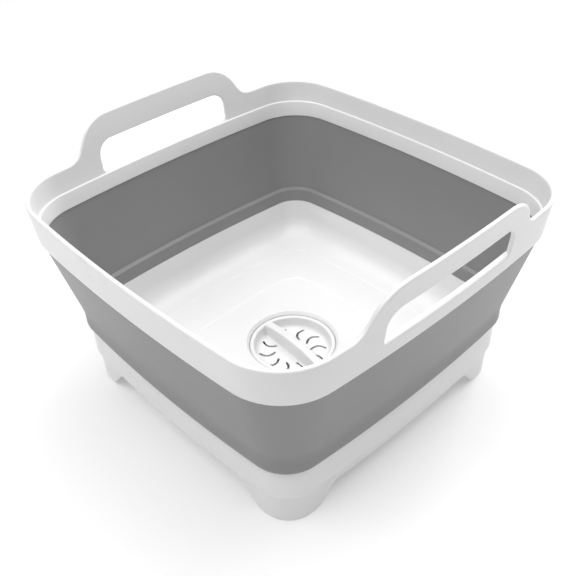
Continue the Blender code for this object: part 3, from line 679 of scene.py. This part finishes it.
def slitSector(bearing, half, floor, underside, inner, outer, arcCount, sideCount):
    # a sector of the dish floor as rings round its bowed slit: top face, slit wall, under face
    share = np.linspace(0, 1, sideCount)
    reach = plug["slitOuter"] - plug["slitInner"]
    centre = np.stack([plug["slitInner"] + reach * share, plug["slitBow"] * 4 * share * (1 - share)], axis=1)
    along = np.gradient(centre, axis=0)
    normal = np.stack([-along[:, 1], along[:, 0]], axis=1) / np.linalg.norm(along, axis=1)[:, None]
    radius = plug["slitWidth"] / 2
    turns = np.linspace(0, np.pi, arcCount)[1:-1]

    def cap(end, outwards, left):
        return end + radius * (np.cos(turns)[:, None] * left + np.sin(turns)[:, None] * outwards)

    tip = along / np.linalg.norm(along, axis=1)[:, None]
    slit = np.vstack([centre + normal * radius, cap(centre[-1], tip[-1], normal[-1]),
                      (centre - normal * radius)[::-1], cap(centre[0], -tip[0], -normal[0])])
    radii = inner + (outer - inner) * share
    arc = np.linspace(half, -half, arcCount)[1:-1]

    def polar(radius, angle):
        return np.stack([radius * np.cos(angle), radius * np.sin(angle)], axis=-1)

    border = np.vstack([polar(radii, half), polar(outer, arc), polar(radii[::-1], -half),
                        polar(inner, arc[::-1])])
    shares = np.array([1, 0.7, 0.4, 0.15, 0.0])[:, None, None]
    drawn = slit + (border - slit) * shares
    flat = np.concatenate([drawn, slit[None], drawn[::-1]])
    heights = np.array([floor] * 4 + [floor - plug["slitLip"], floor - plug["slitStep"]] + [underside] * 5)
    turn = np.array([[math.cos(bearing), math.sin(bearing)], [-math.sin(bearing), math.cos(bearing)]])
    flat = flat @ turn
    points = np.concatenate([flat, np.broadcast_to(heights[:, None, None], (*flat.shape[:2], 1))], axis=2)
    return points, gridFaces(*points.shape[:2], False, True)


def makeStrainerPlug():
    floor = plug["ringTop"] - plug["dishDepth"]
    underside = floor - plug["floorThickness"]
    dishInner = plug["dishOuter"] - plug["dishWall"]
    floorEdge = dishInner - plug["dishFillet"]
    arcCount, sideCount = 15, 18
    half = math.radians(plug["slitSpacing"]) / 2
    patches = []
    bearings = []
    for side in (0, math.pi):
        middle = math.radians(plug["slitMiddle"]) + side
        fan = half * plug["slitsEachSide"]
        for bearing in np.linspace(half - fan, fan - half, plug["slitsEachSide"]) + middle:
            patches.append(slitSector(bearing, half, floor, underside, plug["hub"], floorEdge, arcCount,
                                      sideCount))
            bearings.extend(np.linspace(bearing - half, bearing + half, arcCount)[:-1])
        # the plain sector under one end of the grip bar
        plain = np.linspace(middle + fan, middle + math.pi - fan, 9)
        for height in (floor, underside):
            radii = np.linspace(plug["hub"], floorEdge, sideCount)
            rings = roundRings(np.stack([radii, np.full(sideCount, height)], axis=1), plain)
            patches.append((rings, gridFaces(*rings.shape[:2], False, False)))
        bearings.extend(plain[:-1])
    bearings = np.array(bearings)
    ringInner = plug["ringOuter"] - plug["ringWidth"]
    turnedLine = roundedLine(
        [(floorEdge, floor), (dishInner, floor), (ringInner, plug["ringTop"]),
         (plug["ringOuter"], plug["ringTop"]), (plug["ringOuter"], plug["ringSeat"]),
         (plug["dishOuter"], plug["ringSeat"]), (plug["dishOuter"], underside), (floorEdge, underside)],
        [0, plug["dishFillet"] * plug["filletShare"], plug["ringRound"], plug["ringRound"],
         plug["ringLowEdge"], plug["ringLowEdge"], plug["dishLowEdge"], 0], 6)
    turned = roundRings(turnedLine, bearings)
    patches.append((turned, gridFaces(*turned.shape[:2], False, True)))
    for height in (floor, underside):
        hub = roundRings([(plug["hub"] * share, height) for share in (1, 0.6, 0.25)], bearings)
        patches.append((hub, gridFaces(*hub.shape[:2], False, True)))
        patches.append((hub[-1], [np.arange(len(bearings))]))
    # grip bar: a rounded section with a flared foot, carried across the dish and widened into the ring
    halfWidth = plug["gripWidth"] / 2
    low = floor - plug["floorThickness"] * 0.5
    footWidth = halfWidth + plug["gripSpread"]
    section = roundedLine([(footWidth, floor - plug["gripSink"]), (halfWidth, floor),
                           (halfWidth, plug["ringTop"]), (0, plug["ringTop"])],
                          [0, plug["gripFoot"], plug["gripRound"], 0], 6)
    section = np.vstack([[(footWidth, low)], section])
    section = np.vstack([section, (section * [-1, 1])[-2::-1]])
    reach = plug["ringOuter"] - plug["ringWidth"] * plug["gripReachShare"]
    along = np.concatenate([np.linspace(-reach, -reach + plug["gripEnd"], 12),
                            np.linspace(-reach + plug["gripStart"], reach - plug["gripStart"], 14),
                            np.linspace(reach - plug["gripEnd"], reach, 12)])
    near = np.clip((np.abs(along) - (ringInner - plug["gripFlare"])) / plug["gripFlare"], 0, 0.98)
    flare = plug["gripFlare"] * (1 - np.sqrt(1 - near ** 2))
    across = section[:, 0] + np.sign(section[:, 0]) * flare[:, None]
    # its top rises from the ring in a shallow arch
    camber = plug["gripRise"] * (1 - (along / reach) ** 2)
    up = section[:, 1] + camber[:, None] * np.clip((section[:, 1] - floor) / plug["dishDepth"], 0, 1)
    bar = np.stack([np.broadcast_to(along[:, None], across.shape), across, up], axis=2)
    # the bar alone is turned a little from the basin's cross line
    turn = math.radians(plug["turned"])
    matrix = np.array([[math.cos(turn), math.sin(turn), 0], [-math.sin(turn), math.cos(turn), 0], [0, 0, 1]])
    count = bar.shape[1]
    ends = [np.arange(count), np.arange(count)[::-1] + bar.shape[0] * count - count]
    patches.append((bar @ matrix, [*gridFaces(*bar.shape[:2], False, True), *ends]))
    piece = makePiece("strainerPlug", patches, whitePlastic, "strainer", ["drain_strainer"], sharpAngle=40)
    return piece


makeStrainerPlug()
for node, material in (("drain_stopper", whitePlastic), ("stopper_seal", greyElastomer),
                       ("strainer_seal", greyElastomer)):
    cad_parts[node].data.materials.clear()
    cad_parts[node].data.materials.append(material)
print("strainer made")


# ---- studio ----

studio = {
    "floor": (0.76, 0.76, 0.76), "toneSpread": 0.01, "tone": (6.0, 2.0, 0.5), "floorReach": 6.0,
    "floorGlow": 0.22, "world": 0.16, "softboxAim": (0, 0, 0.1),
    # each softbox: where it stands, its width, its power
    "softboxes": {"topSoftbox": ((0.0, 0.0, 1.5), 2.0, 30.0), "frontSoftbox": ((-0.3, -1.2, 1.3), 1.0, 5.8),
                  "backSoftbox": ((0.0, 1.6, 0.8), 1.0, 20.0), "leftSoftbox": ((-1.0, -1.0, 1.4), 1.0, 2.0)},
    "cameraPlace": (0.3850, -0.3585, 0.4933), "cameraAim": (-0.0350, 0.0289, 0.0490), "roll": -1.81,
    "lens": 52.0, "sensor": 36, "nearest": 0.01,
}


def makeFloor():
    mesh = bpy.data.meshes.new("studioFloor")
    reach = studio["floorReach"]
    corners = [(-reach, -reach, 0), (reach, -reach, 0), (reach, reach, 0), (-reach, reach, 0)]
    mesh.from_pydata(corners, [], [(0, 1, 2, 3)])
    floor = bpy.data.objects.new("studioFloor", mesh)
    bpy.context.scene.collection.objects.link(floor)
    finish = Finish("studioPaper", {"Roughness": 0.9, "Specular IOR Level": 0.1})
    lighter = [min(1, part + studio["toneSpread"]) for part in studio["floor"]]
    finish.feed(finish.shader.inputs["Base Color"],
                finish.blendColours(finish.noise(*studio["tone"]), studio["floor"], lighter))
    # the paper is lit a little from behind, as on a product table, which keeps shadows faint
    finish.shader.inputs["Emission Color"].default_value = (1, 1, 1, 1)
    finish.shader.inputs["Emission Strength"].default_value = studio["floorGlow"]
    mesh.materials.append(finish.material)


def makeSoftbox(name, place, size, power):
    lamp = bpy.data.lights.new(name, "AREA")
    lamp.shape = "SQUARE"
    lamp.size = size
    lamp.energy = power
    softbox = bpy.data.objects.new(name, lamp)
    softbox.location = place
    towards = Vector(studio["softboxAim"]) - Vector(place)
    softbox.rotation_euler = towards.to_track_quat("-Z", "Y").to_euler()
    bpy.context.scene.collection.objects.link(softbox)


def makeCamera():
    # the roll turns the picture about the line of sight
    place, aim = Vector(studio["cameraPlace"]), Vector(studio["cameraAim"])
    back = (place - aim).normalized()
    right = Vector((0, 0, 1)).cross(back).normalized()
    up = back.cross(right)
    roll = math.radians(studio["roll"])
    turnedRight = math.cos(roll) * right + math.sin(roll) * up
    turnedUp = -math.sin(roll) * right + math.cos(roll) * up
    camera = bpy.data.objects.new("photoCamera", bpy.data.cameras.new("photoCamera"))
    turn = Matrix((turnedRight, turnedUp, back)).transposed().to_4x4()
    camera.matrix_world = Matrix.Translation(place) @ turn
    camera.data.lens = studio["lens"]
    camera.data.sensor_width = studio["sensor"]
    camera.data.clip_start = studio["nearest"]
    bpy.context.scene.collection.objects.link(camera)
    bpy.context.scene.camera = camera


makeFloor()
for name, (place, size, power) in studio["softboxes"].items():
    makeSoftbox(name, place, size, power)
makeCamera()
world = bpy.data.worlds.new("studioWorld")
world.use_nodes = True
world.node_tree.nodes["Background"].inputs[0].default_value = (1, 1, 1, 1)
world.node_tree.nodes["Background"].inputs[1].default_value = studio["world"]
bpy.context.scene.world = world
bpy.context.scene.view_settings.view_transform = "Standard"
print("studio made")
